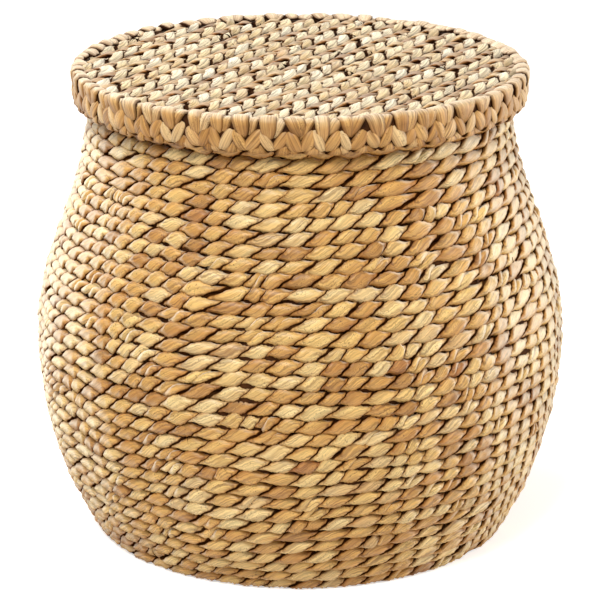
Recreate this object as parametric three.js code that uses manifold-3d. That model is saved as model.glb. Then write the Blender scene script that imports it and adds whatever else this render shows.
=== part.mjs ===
import * as THREE from 'three';
import { mergeVertices } from 'three/addons/utils/BufferGeometryUtils.js';
import Module from 'manifold-3d';

const wasm = await Module();
wasm.setup();

// Sizes are in millimetres. The origin is on the floor under the middle of the basket.

// Wall of the basket, measured to the outside of the weave
const BELLY_RADIUS = 250;
const BELLY_HEIGHT = 185;
const FOOT_RADIUS = 195.5;
const NECK_RADIUS = 197.5;
const NECK_HEIGHT = 410;
const SWELL_POWER = 2.15;
const WALL_THICKNESS = 13;

// Courses of twisted strand that the wall is twined from
const COURSE_COUNT = 34;
const COURSE_GROOVE = 2.2;
const FOOT_LIFT = 4;

// Wire frame inside the weave
const RIB_COUNT = 16;
const RIB_RADIUS = 1.75;
const RING_RADIUS = 2.5;
const BAR_COUNT = 5;
const POST_COUNT = 8;
const WIRE_SIDES = 6;
const RIB_STEPS = 9;

// Share of a straight chord that the weave takes between two ribs at the belly
const FACET_FLATNESS = 0.5;

// Flat panels of straight rows
const PANEL_THICKNESS = 12;
const ROW_COUNT = 36;
const ROW_GROOVE = 2.2;
const LID_ROW_ANGLE = 61.4;
const BASE_ROW_ANGLE = 0;
const BASE_LIFT = 2;

// Lid
const RIM_THICKNESS = 12;
const SKIRT_DEPTH = 20;
const FOLD_WIDTH = 15;
const FOLD_THICKNESS = 3;
const RIM_GROOVE = 1.6;
const EDGE_ROUNDING = 3;
const LID_PLAY = 2;

// Border over the mouth ring
const BORDER_HEIGHT = 12.5;
const BORDER_STRAND = 3.6;
const RIB_STANDOFF = 1.5;

// Gap left between pieces that touch
const GAP = 0.35;

// Fineness of the round pieces
const WALL_SEGMENTS = 2 * RIB_COUNT;
const ROUND_SEGMENTS = 3 * RIB_COUNT;

// Levels and radii that follow from the sizes above
const LID_SEAT = NECK_HEIGHT + SKIRT_DEPTH;
const WALL_TOP = LID_SEAT - BORDER_HEIGHT - 2 * GAP;
const FOOT_RING_HEIGHT = BASE_LIFT + PANEL_THICKNESS / 2;
const MOUTH_RING_HEIGHT = WALL_TOP + RIB_STANDOFF + GAP + RING_RADIUS;
const LID_RING_HEIGHT = LID_SEAT + PANEL_THICKNESS / 2;
const SKIRT_RADIUS = NECK_RADIUS + LID_PLAY;
const RIM_RADIUS = SKIRT_RADIUS + RIM_THICKNESS;
const LID_RING_RADIUS = SKIRT_RADIUS + RING_RADIUS;
const LID_PANEL_RADIUS = LID_RING_RADIUS - RING_RADIUS - 2 * GAP;
const SKIRT_RING_RADIUS = SKIRT_RADIUS + RIM_THICKNESS / 2;
const SKIRT_RING_HEIGHT = NECK_HEIGHT + RIM_THICKNESS / 2;
const FOOT_INSIDE = wallRadius(FOOT_LIFT) - WALL_THICKNESS;
const BASE_PANEL_RADIUS = FOOT_INSIDE * Math.cos(Math.PI / WALL_SEGMENTS) - GAP;

// Finishes
const STRAW = new THREE.MeshStandardMaterial({ color: 0xc39a63, roughness: 0.75, metalness: 0 });
const WIRE = new THREE.MeshStandardMaterial({ color: 0x4a4038, roughness: 0.5, metalness: 1 });

/** Outside radius of the weave at a rib: a full swell below the belly, an S-curve up to the neck. */
function wallRadius(z) {
  if (z <= BELLY_HEIGHT) {
    const drop = (BELLY_HEIGHT - z) / BELLY_HEIGHT;
    return BELLY_RADIUS - (BELLY_RADIUS - FOOT_RADIUS) * drop ** SWELL_POWER;
  }
  const rise = Math.min((z - BELLY_HEIGHT) / (NECK_HEIGHT - BELLY_HEIGHT), 1);
  return NECK_RADIUS + ((BELLY_RADIUS - NECK_RADIUS) * (1 + Math.cos(Math.PI * rise))) / 2;
}

/** Radius of the middle of the wall, where the ribs stand. */
function middleRadius(z) {
  return wallRadius(z) - WALL_THICKNESS / 2;
}

/** Point beside the middle of the wall, on the outside where the offset is positive. */
function besideMiddle(z, offset) {
  const slope = middleRadius(z + 0.5) - middleRadius(z - 0.5);
  const length = Math.hypot(1, slope);
  return new THREE.Vector2(middleRadius(z) + offset / length, z - (offset * slope) / length);
}

/** Heights that share out the slant length of the wall evenly, from the foot to the wall top. */
function evenHeights(count) {
  const samples = 400;
  const heights = [];
  const lengths = [0];
  for (let i = 0; i <= samples; i += 1) {
    heights.push(FOOT_LIFT + ((WALL_TOP - FOOT_LIFT) * i) / samples);
  }
  for (let i = 1; i <= samples; i += 1) {
    const rise = heights[i] - heights[i - 1];
    const spread = middleRadius(heights[i]) - middleRadius(heights[i - 1]);
    lengths.push(lengths[i - 1] + Math.hypot(rise, spread));
  }
  const shared = [];
  let at = 1;
  for (let i = 0; i <= count; i += 1) {
    const target = (lengths[samples] * i) / count;
    while (at < samples && lengths[at] < target) {
      at += 1;
    }
    const part = (target - lengths[at - 1]) / (lengths[at] - lengths[at - 1]);
    shared.push(heights[at - 1] + part * (heights[at] - heights[at - 1]));
  }
  return shared;
}

/** Closed body for cutting and joining, from one geometry. */
function body(geometry) {
  const bare = geometry.clone();
  bare.deleteAttribute('normal');
  bare.deleteAttribute('uv');
  const merged = mergeVertices(bare, 1e-4);
  const mesh = new wasm.Mesh({
    numProp: 3,
    vertProperties: new Float32Array(merged.attributes.position.array),
    triVerts: new Uint32Array(merged.index.array),
  });
  mesh.merge();
  return new wasm.Manifold(mesh);
}

/** Named mesh of one piece. */
function piece(name, solid, finish) {
  const cut = solid.getMesh();
  const geometry = new THREE.BufferGeometry();
  geometry.setAttribute('position', new THREE.BufferAttribute(new Float32Array(cut.vertProperties), 3));
  geometry.setIndex(new THREE.BufferAttribute(new Uint32Array(cut.triVerts), 1));
  geometry.computeVertexNormals();
  const mesh = new THREE.Mesh(geometry, finish.clone());
  mesh.name = name;
  return mesh;
}

/** Name with a two-figure number, counted from one. */
function numbered(stem, index) {
  return `${stem}_${String(index + 1).padStart(2, '0')}`;
}

/** Turned piece from a closed outline of [radius, height] points, with the outside going up. */
function turned(outline, segments) {
  const points = outline.map(([radius, height]) => new THREE.Vector2(radius, height));
  points.push(points[0].clone());
  return new THREE.LatheGeometry(points, segments).rotateX(Math.PI / 2);
}

/** Point at a radius and a height, at an angle round from the front. */
function aroundAxis(radius, angle, height) {
  return new THREE.Vector3(radius * Math.sin(angle), -radius * Math.cos(angle), height);
}

/** Wire ring lying level. */
function ring(radius, height, wireRadius) {
  const hoop = new THREE.TorusGeometry(radius, wireRadius, WIRE_SIDES, ROUND_SEGMENTS);
  return body(hoop.translate(0, 0, height));
}

/** Rib before its ends are coped, from the foot ring to the mouth ring. */
function rib(index, wireRadius) {
  const angle = (2 * Math.PI * index) / RIB_COUNT;
  const stations = [];
  for (let i = 0; i <= RIB_STEPS; i += 1) {
    const z = FOOT_RING_HEIGHT + ((MOUTH_RING_HEIGHT - FOOT_RING_HEIGHT) * i) / RIB_STEPS;
    stations.push(aroundAxis(middleRadius(z), angle, z));
  }
  const section = new THREE.Shape();
  for (let i = 0; i < WIRE_SIDES; i += 1) {
    const turn = (2 * Math.PI * i) / WIRE_SIDES;
    const place = [wireRadius * Math.cos(turn), wireRadius * Math.sin(turn)];
    if (i === 0) {
      section.moveTo(...place);
    } else {
      section.lineTo(...place);
    }
  }
  const path = new THREE.CatmullRomCurve3(stations);
  const extrude = { steps: RIB_STEPS, extrudePath: path, bevelEnabled: false };
  return body(new THREE.ExtrudeGeometry(section, extrude));
}

/** Straight bar across a ring, before its ends are coped. It lies square to the rows of the panel. */
function bar(index, ringRadius, height, rowAngle, wireRadius) {
  const aside = ringRadius * ((2 * (index + 1)) / (BAR_COUNT + 1) - 1);
  const length = 2 * Math.sqrt(ringRadius ** 2 - aside ** 2);
  const rod = new THREE.CylinderGeometry(wireRadius, wireRadius, length, WIRE_SIDES);
  rod.translate(aside, 0, 0);
  return body(rod.rotateZ(THREE.MathUtils.degToRad(rowAngle)).translate(0, 0, height));
}

/** Post between the two rings of the lid, before its ends are coped. */
function post(index, wireRadius) {
  const angle = (2 * Math.PI * (index + 0.5)) / POST_COUNT;
  const foot = aroundAxis(SKIRT_RING_RADIUS, angle, SKIRT_RING_HEIGHT);
  const head = aroundAxis(LID_RING_RADIUS, angle, LID_RING_HEIGHT);
  const lean = head.clone().sub(foot);
  const rod = new THREE.CylinderGeometry(wireRadius, wireRadius, lean.length(), WIRE_SIDES);
  const upright = new THREE.Vector3(0, 1, 0);
  rod.applyQuaternion(new THREE.Quaternion().setFromUnitVectors(upright, lean.clone().normalize()));
  const middle = foot.clone().add(head).multiplyScalar(0.5);
  return body(rod.translate(middle.x, middle.y, middle.z));
}

/** Round panel of straight rows, each a ridge along the top. */
function rowPanel(radius, underside, rowAngle) {
  const pitch = (2 * radius) / ROW_COUNT;
  const section = new THREE.Shape();
  section.moveTo(-radius, 0);
  section.lineTo(radius, 0);
  for (let i = ROW_COUNT; i > 0; i -= 1) {
    const edge = -radius + pitch * i;
    section.lineTo(edge, PANEL_THICKNESS - ROW_GROOVE);
    section.lineTo(edge - 0.3 * pitch, PANEL_THICKNESS);
    section.lineTo(edge - 0.7 * pitch, PANEL_THICKNESS);
  }
  section.lineTo(-radius, PANEL_THICKNESS - ROW_GROOVE);
  const rows = new THREE.ExtrudeGeometry(section, { depth: 2 * radius, steps: 1, bevelEnabled: false });
  rows.translate(0, 0, -radius);
  rows.rotateX(Math.PI / 2);
  rows.rotateZ(THREE.MathUtils.degToRad(rowAngle - 90));
  const disc = new THREE.CylinderGeometry(radius, radius, 2 * PANEL_THICKNESS, ROUND_SEGMENTS);
  disc.rotateX(Math.PI / 2);
  disc.translate(0, 0, PANEL_THICKNESS / 2);
  return body(rows).intersect(body(disc)).translate([0, 0, underside]);
}

/** Twined wall: a ridge for each course outside, a plain swell inside, and a level foot. */
function wallShell() {
  const half = WALL_THICKNESS / 2;
  const heights = evenHeights(2 * COURSE_COUNT);
  const outline = [[FOOT_INSIDE, 0]];
  outline.push([middleRadius(FOOT_LIFT) + COURSE_GROOVE / 2, 0]);
  heights.forEach((z, i) => {
    const offset = i % 2 === 0 ? half - COURSE_GROOVE : half;
    const place = besideMiddle(z, offset);
    outline.push([place.x, Math.min(place.y, WALL_TOP)]);
  });
  const base = BASE_LIFT + PANEL_THICKNESS + GAP;
  for (let i = 2 * COURSE_COUNT; i > 0; i -= 6) {
    const place = besideMiddle(heights[i], -half);
    if (place.y > base + WALL_THICKNESS / 2) {
      outline.push([place.x, Math.min(place.y, WALL_TOP)]);
    }
  }
  outline.push([FOOT_INSIDE, base]);
  const shell = turned(outline, WALL_SEGMENTS);
  const place = shell.attributes.position;
  for (let i = 0; i < place.count; i += 1) {
    const scale = facetScale(place.getX(i), place.getY(i), place.getZ(i));
    place.setXY(i, place.getX(i) * scale, place.getY(i) * scale);
  }
  return body(shell);
}

/** Share of its radius that the weave keeps between two ribs. The swell of the wall sets how much. */
function facetScale(x, y, z) {
  const swell = Math.max((wallRadius(z) - NECK_RADIUS) / (BELLY_RADIUS - NECK_RADIUS), 0);
  const between = (1 - Math.cos(RIB_COUNT * Math.atan2(x, -y))) / 2;
  return 1 - FACET_FLATNESS * swell * between * (1 - Math.cos(Math.PI / RIB_COUNT));
}

/** Border: wrapped strand over the mouth ring, open below where the ribs come up. */
function mouthBorder() {
  const outside = NECK_RADIUS;
  const inside = NECK_RADIUS - WALL_THICKNESS;
  const bottom = WALL_TOP + GAP;
  const top = LID_SEAT - GAP;
  const roof = MOUTH_RING_HEIGHT + RING_RADIUS + GAP;
  return body(
    turned(
      [
        [outside - BORDER_STRAND, bottom],
        [outside, bottom],
        [outside, top - EDGE_ROUNDING],
        [outside - EDGE_ROUNDING, top],
        [inside + EDGE_ROUNDING, top],
        [inside, top - EDGE_ROUNDING],
        [inside, bottom],
        [inside + BORDER_STRAND, bottom],
        [inside + BORDER_STRAND, roof],
        [outside - BORDER_STRAND, roof],
      ],
      ROUND_SEGMENTS,
    ),
  );
}

/** Rim band: three plaited rows on the outside, a fold over the panel and a slot for the lid ring. */
function rimBand() {
  const outside = RIM_RADIUS;
  const floor = LID_SEAT - GAP;
  const roof = LID_SEAT + PANEL_THICKNESS + GAP;
  const top = roof + FOLD_THICKNESS;
  const slot = LID_RING_RADIUS + RING_RADIUS + GAP;
  const row = (top - NECK_HEIGHT) / 3;
  return body(
    turned(
      [
        [SKIRT_RADIUS + EDGE_ROUNDING, NECK_HEIGHT],
        [outside - EDGE_ROUNDING, NECK_HEIGHT],
        [outside, NECK_HEIGHT + EDGE_ROUNDING],
        [outside, NECK_HEIGHT + 0.7 * row],
        [outside - RIM_GROOVE, NECK_HEIGHT + row],
        [outside, NECK_HEIGHT + 1.3 * row],
        [outside, NECK_HEIGHT + 1.7 * row],
        [outside - RIM_GROOVE, NECK_HEIGHT + 2 * row],
        [outside, NECK_HEIGHT + 2.3 * row],
        [outside, top - EDGE_ROUNDING],
        [outside - EDGE_ROUNDING, top],
        [outside - FOLD_WIDTH, top],
        [outside - FOLD_WIDTH, roof],
        [slot, roof],
        [slot, floor],
        [SKIRT_RADIUS, floor],
        [SKIRT_RADIUS, NECK_HEIGHT + EDGE_ROUNDING],
      ],
      ROUND_SEGMENTS,
    ),
  );
}

/** Whole numbers from zero up to the count. */
function upTo(count) {
  return Array.from({ length: count }, (_, index) => index);
}

const group = new THREE.Group();
group.name = 'laundry_basket';

// Rings, and the room that each one takes in the weave
const footRingPlace = [middleRadius(FOOT_RING_HEIGHT), FOOT_RING_HEIGHT];
const mouthRingPlace = [middleRadius(MOUTH_RING_HEIGHT), MOUTH_RING_HEIGHT];
const lidRingPlace = [LID_RING_RADIUS, LID_RING_HEIGHT];
const skirtRingPlace = [SKIRT_RING_RADIUS, SKIRT_RING_HEIGHT];
const footRoom = ring(...footRingPlace, RING_RADIUS + GAP);
const mouthRoom = ring(...mouthRingPlace, RING_RADIUS + GAP);
const lidRoom = ring(...lidRingPlace, RING_RADIUS + GAP);
const skirtRoom = ring(...skirtRingPlace, RING_RADIUS + GAP);
group.add(piece('foot_ring', ring(...footRingPlace, RING_RADIUS), WIRE));
group.add(piece('mouth_ring', ring(...mouthRingPlace, RING_RADIUS), WIRE));
group.add(piece('lid_ring', ring(...lidRingPlace, RING_RADIUS), WIRE));
group.add(piece('skirt_ring', ring(...skirtRingPlace, RING_RADIUS), WIRE));

// Ribs stand on the foot ring and carry the mouth ring
for (const i of upTo(RIB_COUNT)) {
  const coped = rib(i, RIB_RADIUS).subtract(footRoom).subtract(mouthRoom);
  group.add(piece(numbered('rib', i), coped, WIRE));
}

// Bars cross the foot ring and the lid ring
const footBar = (i, radius) => bar(i, footRingPlace[0], FOOT_RING_HEIGHT, BASE_ROW_ANGLE, radius);
const lidBar = (i, radius) => bar(i, LID_RING_RADIUS, LID_RING_HEIGHT, LID_ROW_ANGLE, radius);
for (const i of upTo(BAR_COUNT)) {
  group.add(piece(numbered('base_bar', i), footBar(i, RIB_RADIUS).subtract(footRoom), WIRE));
  group.add(piece(numbered('lid_bar', i), lidBar(i, RIB_RADIUS).subtract(lidRoom), WIRE));
}

// Posts hold the two rings of the lid apart
for (const i of upTo(POST_COUNT)) {
  const coped = post(i, RIB_RADIUS).subtract(lidRoom).subtract(skirtRoom);
  group.add(piece(numbered('rim_post', i), coped, WIRE));
}

// Weave, with room for the wires inside it
const wallRooms = [footRoom];
wallRooms.push(...upTo(RIB_COUNT).map((i) => rib(i, RIB_RADIUS + GAP)));
wallRooms.push(...upTo(BAR_COUNT).map((i) => footBar(i, RIB_RADIUS + GAP)));
const wall = wallShell().subtract(wasm.Manifold.union(wallRooms));
group.add(piece('wall_weave', wall, STRAW));

const baseRooms = wasm.Manifold.union(upTo(BAR_COUNT).map((i) => footBar(i, RIB_RADIUS + GAP)));
const basePanel = rowPanel(BASE_PANEL_RADIUS, BASE_LIFT, BASE_ROW_ANGLE).subtract(baseRooms);
group.add(piece('base_weave', basePanel, STRAW));

group.add(piece('mouth_border', mouthBorder(), STRAW));

const lidRooms = wasm.Manifold.union(upTo(BAR_COUNT).map((i) => lidBar(i, RIB_RADIUS + GAP)));
const lidPanel = rowPanel(LID_PANEL_RADIUS, LID_SEAT, LID_ROW_ANGLE).subtract(lidRooms);
group.add(piece('lid_weave', lidPanel, STRAW));

const postRooms = upTo(POST_COUNT).map((i) => post(i, RIB_RADIUS + GAP));
const rim = rimBand().subtract(wasm.Manifold.union([skirtRoom, ...postRooms]));
group.add(piece('lid_rim', rim, STRAW));

export default group;
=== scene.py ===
"""Looks of a lidded laundry basket: twisted strands of dried water hyacinth over a wire frame."""

import logging
import math
from dataclasses import dataclass, field
from enum import Enum
from typing import Any, Callable, Optional, Sequence

import bpy
import numpy as np
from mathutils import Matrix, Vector


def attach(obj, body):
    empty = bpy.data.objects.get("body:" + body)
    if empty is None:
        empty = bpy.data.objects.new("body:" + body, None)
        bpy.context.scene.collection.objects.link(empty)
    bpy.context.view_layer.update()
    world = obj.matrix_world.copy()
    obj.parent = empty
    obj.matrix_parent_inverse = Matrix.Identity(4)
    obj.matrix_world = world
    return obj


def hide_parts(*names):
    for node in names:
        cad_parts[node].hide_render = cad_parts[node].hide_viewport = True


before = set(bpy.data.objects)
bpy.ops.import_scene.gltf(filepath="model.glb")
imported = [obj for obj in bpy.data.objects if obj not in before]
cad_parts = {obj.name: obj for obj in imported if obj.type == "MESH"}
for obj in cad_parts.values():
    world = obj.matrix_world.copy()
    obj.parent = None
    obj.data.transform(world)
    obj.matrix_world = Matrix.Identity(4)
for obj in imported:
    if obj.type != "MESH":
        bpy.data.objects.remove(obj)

Array = np.ndarray
Chance = np.random.Generator
Material = bpy.types.Material
Piece = bpy.types.Object
Point = tuple[float, float, float]
Socket = bpy.types.NodeSocket
Tree = bpy.types.NodeTree

log = logging.getLogger("basket")

MM = 0.001
FOLD_SIDES = 12
FOLD_STATIONS = 10
TURN_STATIONS = 14
HOOP_SIDES = 96
# Shift of the fibres across a strand, as a share of its way along the pair
FIBRE_LAY = 0.5
NEAR = 1e-3


class Body(Enum):
    """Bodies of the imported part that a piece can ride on."""

    BASKET = "basket"
    LID = "lid"


class Twist(Enum):
    """Way that a pair of strands is twisted: the slant of its folds."""

    RISING = 1.0
    FALLING = -1.0


def linear(colour: str) -> tuple[float, float, float, float]:
    """Turns an sRGB hex colour into linear light.

    Args:
        colour: Six hex figures after a hash sign.

    Returns:
        Red, green, blue and full opacity.
    """
    parts = [int(colour[i : i + 2], 16) / 255 for i in (1, 3, 5)]
    light = [c / 12.92 if c <= 0.04045 else ((c + 0.055) / 1.055) ** 2.4 for c in parts]
    return light[0], light[1], light[2], 1.0


def add_node(
    tree: Tree,
    kind: str,
    inputs: Optional[dict[Any, Any]] = None,
    stops: Sequence[tuple[float, str]] = (),
    **settings: Any,
) -> bpy.types.Node:
    """Adds one node with its settings, its links and, on a ramp, its stops.

    Args:
        tree: Node tree that the node goes into.
        kind: Type name of the node.
        inputs: Values or other nodes' outputs, by input name or number.
        stops: Places and hex colours of a colour ramp.
        settings: Properties of the node itself.

    Returns:
        The new node.
    """
    node = tree.nodes.new(kind)
    for name, value in settings.items():
        setattr(node, name, value)
    for name, value in (inputs or {}).items():
        if isinstance(value, Socket):
            tree.links.new(value, node.inputs[name])
        else:
            node.inputs[name].default_value = value
    for i, (place, colour) in enumerate(stops):
        ramp = node.color_ramp.elements
        stop = ramp[i] if i < len(ramp) else ramp.new(place)
        stop.position = place
        stop.color = linear(colour)
    return node


def step_between(
    tree: Tree, value: Socket, low: float, high: float, start: float, end: float, smooth: bool = True
) -> Socket:
    """Adds a step from one number to another.

    Args:
        tree: Node tree that the node goes into.
        value: Socket that drives the step.
        low: Value at which the step starts.
        high: Value at which it ends.
        start: Result up to the low value.
        end: Result from the high value on.
        smooth: Whether the step eases in and out.

    Returns:
        Socket of the result.
    """
    limits = {0: value, 1: low, 2: high, 3: start, 4: end}
    easing = "SMOOTHSTEP" if smooth else "LINEAR"
    return add_node(tree, "ShaderNodeMapRange", limits, interpolation_type=easing).outputs[0]


def reckon(tree: Tree, way: str, *values: Any) -> Socket:
    """Adds one sum on numbers and sockets and returns the socket of its result."""
    return add_node(tree, "ShaderNodeMath", dict(enumerate(values)), operation=way).outputs[0]


def shades(tree: Tree, value: Socket, *stops: tuple[float, str]) -> Socket:
    """Adds a colour ramp that a socket drives and returns its colour."""
    return add_node(tree, "ShaderNodeValToRGB", {0: value}, stops=stops).outputs[0]


def noise(tree: Tree, place: Socket, scale: float, detail: float) -> Socket:
    """Adds soft noise with some octaves of detail and returns it, a number round one half."""
    inputs = {"Vector": place, "Scale": scale, "Detail": detail}
    return add_node(tree, "ShaderNodeTexNoise", inputs).outputs[0]


def bump(tree: Tree, height: Socket, strength: float, depth: float) -> Socket:
    """Adds fine relief of some depth, in millimetres, and returns its normal."""
    inputs = {"Strength": strength, "Distance": depth * MM, "Height": height}
    return add_node(tree, "ShaderNodeBump", inputs).outputs[0]


def start_material(name: str) -> tuple[Material, Tree]:
    """Makes a material that has no nodes yet.

    Args:
        name: What the material is.

    Returns:
        The material and its node tree.
    """
    made = bpy.data.materials.new(name)
    made.use_nodes = True
    made.node_tree.nodes.clear()
    return made, made.node_tree


def end_material(tree: Tree, sockets: dict[str, Any]) -> None:
    """Closes a material with its shader, fed by values or other nodes' outputs."""
    shader = add_node(tree, "ShaderNodeBsdfPrincipled", sockets)
    add_node(tree, "ShaderNodeOutputMaterial", {"Surface": shader.outputs[0]})


def deselect_everything() -> None:
    """Leaves edit mode and deselects every object."""
    if bpy.context.object is not None and bpy.context.object.mode != "OBJECT":
        bpy.ops.object.mode_set(mode="OBJECT")
    bpy.ops.object.select_all(action="DESELECT")


def select_points(piece: Piece, wanted: Callable[[Vector], bool]) -> None:
    """Goes into edit mode with only the wanted points of a piece selected.

    Args:
        piece: Mesh object that is active.
        wanted: Test of a point's place.
    """
    bpy.ops.object.mode_set(mode="OBJECT")
    mesh = piece.data
    mesh.polygons.foreach_set("select", [False] * len(mesh.polygons))
    mesh.edges.foreach_set("select", [False] * len(mesh.edges))
    mesh.vertices.foreach_set("select", [wanted(v.co) for v in mesh.vertices])
    bpy.ops.object.mode_set(mode="EDIT")
    bpy.ops.mesh.select_mode(type="VERT")


def raise_core_shade(name: str, radii: Sequence[float], levels: Sequence[float], thickness: float) -> Piece:
    """Raises the dark core inside a weave from a hoop, ring by ring: painted shade that shows between
    the strands.

    Args:
        name: Name of the piece.
        radii: Radius of each ring, in millimetres.
        levels: Height of each ring, in millimetres.
        thickness: Thickness of the wall that the rings make, or zero for a filled slab.

    Returns:
        The dark core, closed, active and in object mode.
    """
    deselect_everything()
    fill = "NOTHING" if thickness else "NGON"
    extrude = bpy.ops.mesh.extrude_edges_move if thickness else bpy.ops.mesh.extrude_region_move
    bpy.ops.mesh.primitive_circle_add(
        vertices=HOOP_SIDES, radius=radii[0] * MM, fill_type=fill, location=(0, 0, levels[0] * MM)
    )
    core_shade = bpy.context.object
    core_shade.name = core_shade.data.name = name
    bpy.ops.object.transform_apply(location=True, rotation=True, scale=True)
    bpy.ops.object.mode_set(mode="EDIT")
    bpy.ops.mesh.select_all(action="SELECT")
    for i in range(1, len(levels)):
        extrude(TRANSFORM_OT_translate={"value": (0, 0, (levels[i] - levels[i - 1]) * MM)})
        grow = radii[i] / radii[i - 1]
        bpy.ops.transform.resize(value=(grow, grow, 1), center_override=(0, 0, levels[i] * MM))
    bpy.ops.mesh.select_all(action="SELECT")
    bpy.ops.mesh.normals_make_consistent(inside=False)
    bpy.ops.object.mode_set(mode="OBJECT")
    if thickness:
        solid = core_shade.modifiers.new("wall", "SOLIDIFY")
        solid.thickness = thickness * MM
        solid.offset = 0.0
        bpy.ops.object.modifier_apply(modifier=solid.name)
    return core_shade


def seat(piece: Piece, finish: Material, body: Body, nodes: Sequence[str] = ()) -> None:
    """Gives a piece its finish, the body that it rides on and the solids that it stands for.

    Args:
        piece: Finished mesh object.
        finish: Its material.
        body: Body of the part that it moves with.
        nodes: Solids that it replaces.
    """
    piece.data.materials.clear()
    piece.data.materials.append(finish)
    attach(piece, body.value)
    if nodes:
        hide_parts(*nodes)
    log.info("%s: %d faces on %s", piece.name, len(piece.data.polygons), body.value)


def leaned(along: Array, up: Array, lean: Any) -> tuple[Array, Array]:
    """Turns lengths along and across a strand by its lean, in radians."""
    return along * np.cos(lean) - up * np.sin(lean), along * np.sin(lean) + up * np.cos(lean)


def round_axis(angle: Array, radius: Array, height: Array) -> Array:
    """Points at angles round from the front, in radians, on a new last axis."""
    return np.stack([radius * np.sin(angle), -radius * np.cos(angle), height], axis=-1)


def jitter(rng: Chance, size: float, count: int) -> Array:
    """Draws one chance change for each of many copies, as a column."""
    return size * rng.standard_normal((count, 1))


def pick_tones(rng: Chance, count: int) -> Array:
    """Picks the colours of neighbouring folds.

    Args:
        rng: Source of chance.
        count: Number of folds.

    Returns:
        Numbers from zero to one. One, which is rare, stands for a russet fold.
    """
    darkest, lightest, shift, russet_share = 0.05, 0.97, 0.05, 0.006
    tones = lightest * rng.random(count) + shift * rng.standard_normal()
    tones = np.clip(tones, darkest, lightest)
    return np.where(rng.random(count) < russet_share, 1.0, tones)


@dataclass(frozen=True)
class Scatter:
    """Spread that a hand leaves from fold to fold.

    Width and length are shares of the fold's own, the lean is in degrees, and the changes aside,
    up and out are in millimetres.
    """

    width: float
    out: float
    rise: float = 0.0
    aside: float = 0.0
    length: float = 0.0
    lean: float = 0.0


@dataclass
class FoldShape:
    """One modelled fold, read back as arrays with a row for each point.

    Points lie along the strand, up and out. Share is the place along the fold, and across the
    place across the strand. Inset is the distance in from the outline that a turn shows, and for
    a plait's fold the height over the middle of its strand. Lengths are in millimetres, but those
    along a turn are shares of half of it.
    """

    points: Array
    share: Array
    inset: Array
    across: Array
    corners: Array
    starts: Array


def add_ball(stations: int) -> tuple[Piece, Array, list[float]]:
    """Adds the ball that a fold is shaped from.

    Args:
        stations: Rings of faces from pole to pole.

    Returns:
        The ball, its points and the heights of its rings of points.
    """
    deselect_everything()
    bpy.ops.mesh.primitive_uv_sphere_add(
        segments=FOLD_SIDES, ring_count=stations, radius=1.0, location=(0, 0, 0)
    )
    ball = bpy.context.object
    start = np.array([v.co[:] for v in ball.data.vertices])
    return ball, start, [float(level) for level in sorted(set(np.round(start[:, 2], 4)))]


def shape_ring(ball: Piece, level: float, width: float, thickness: float, shift: Point) -> None:
    """Gives one ring of a ball its size and its place. A pole only gets its place.

    Args:
        ball: The ball that becomes a fold.
        level: Height of the ring on the ball.
        width: Width of the fold there.
        thickness: Thickness of the fold there.
        shift: Way from the ring's place on the ball to its place in the fold.
    """
    select_points(ball, lambda co: abs(co.z - level) < NEAR)
    spread = 2 * math.sqrt(1 - level * level)
    if spread > 0:
        size = (width / spread, thickness / spread, 1)
        bpy.ops.transform.resize(value=size, center_override=(0, 0, level))
    bpy.ops.transform.translate(value=shift)


def read_shape(ball: Piece, start: Array, width: float, thickness: float) -> FoldShape:
    """Reads a fold back from the ball that it was modelled from and removes it from the scene.

    Args:
        ball: The modelled fold.
        start: Points of the ball before it was shaped.
        width: Width of the strand, in millimetres.
        thickness: Thickness of the strand, in millimetres.

    Returns:
        The fold as arrays. Its inset is the height over the middle of the strand.
    """
    bpy.ops.object.mode_set(mode="OBJECT")
    done = np.array([v.co[:] for v in ball.data.vertices])
    corners = np.array([i for p in ball.data.polygons for i in p.vertices])
    starts = np.array([p.loop_start for p in ball.data.polygons])
    radius = np.hypot(start[:, 0], start[:, 1])
    across = start[:, 0] / np.maximum(radius, NEAR) * width / 2
    facing = np.where(radius < NEAR, 0.0, start[:, 1] / np.maximum(radius, NEAR))
    bpy.data.objects.remove(ball, do_unlink=True)
    return FoldShape(done[:, (2, 0, 1)], start[:, 2], facing * thickness / 2, across, corners, starts)


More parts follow.
